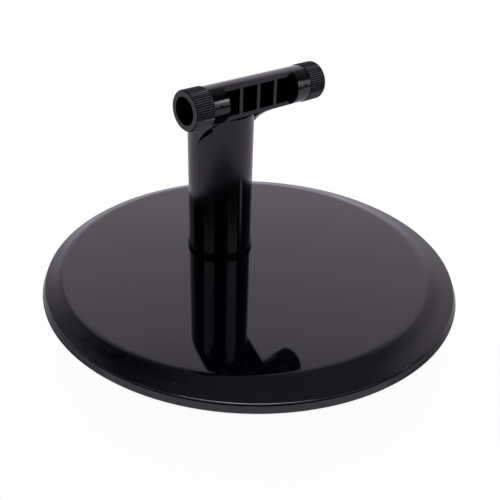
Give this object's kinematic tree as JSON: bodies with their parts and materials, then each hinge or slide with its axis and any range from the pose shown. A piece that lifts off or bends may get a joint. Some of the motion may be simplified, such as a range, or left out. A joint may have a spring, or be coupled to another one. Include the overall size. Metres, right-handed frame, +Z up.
{
  "type": "tabletop pedestal stand",
  "caption": "Tabletop pedestal stand: round weighted base, set-back column and a T-shaped head, a cross tube with a ribbed window and a turning knurled collar at each end.",
  "frame": {"origin": "centre of the round base, on the table under the feet", "axes": "+Z up, +X along the cross tube to the right-hand collar, the window faces -Y and the column stands towards +Y"},
  "size_m": [0.1278, 0.1278, 0.0633],
  "materials": {
    "gloss_black": "high gloss moulded, fine dust and hairline scratches",
    "satin_black": "satin moulded, straight fluted knurl",
    "black_rubber": "matt",
    "plate_steel": "zinc plated sheet",
    "bright_steel": "blackened screw steel"
  },
  "bodies": {
    "stand": {"base_cover": "gloss_black", "base_tray": "gloss_black", "ballast_plate": "plate_steel", "column_foot_ring": "gloss_black", "column_front": "gloss_black", "column_rear": "gloss_black", "column_screws": "bright_steel", "cross_tube": "gloss_black", "left_collar_pin": "bright_steel", "right_collar_pin": "bright_steel", "tray_screws": "bright_steel", "foot_1": "black_rubber", "foot_2": "black_rubber", "foot_3": "black_rubber", "foot_4": "black_rubber", "foot_5": "black_rubber", "foot_6": "black_rubber"},
    "left_knurled_collar": {"left_collar": "satin_black", "left_friction_ring": "black_rubber"},
    "right_knurled_collar": {"right_collar": "satin_black", "right_friction_ring": "black_rubber"}
  },
  "joints": [
    {"name": "left_collar_turn", "type": "hinge", "parent": "stand", "child": "left_knurled_collar", "pos_m": [-0.018, 0.00115, 0.05785], "axis": [1, 0, 0], "continuous": true},
    {"name": "right_collar_turn", "type": "hinge", "parent": "stand", "child": "right_knurled_collar", "pos_m": [0.018, 0.00115, 0.05785], "axis": [1, 0, 0], "continuous": true}
  ]
}
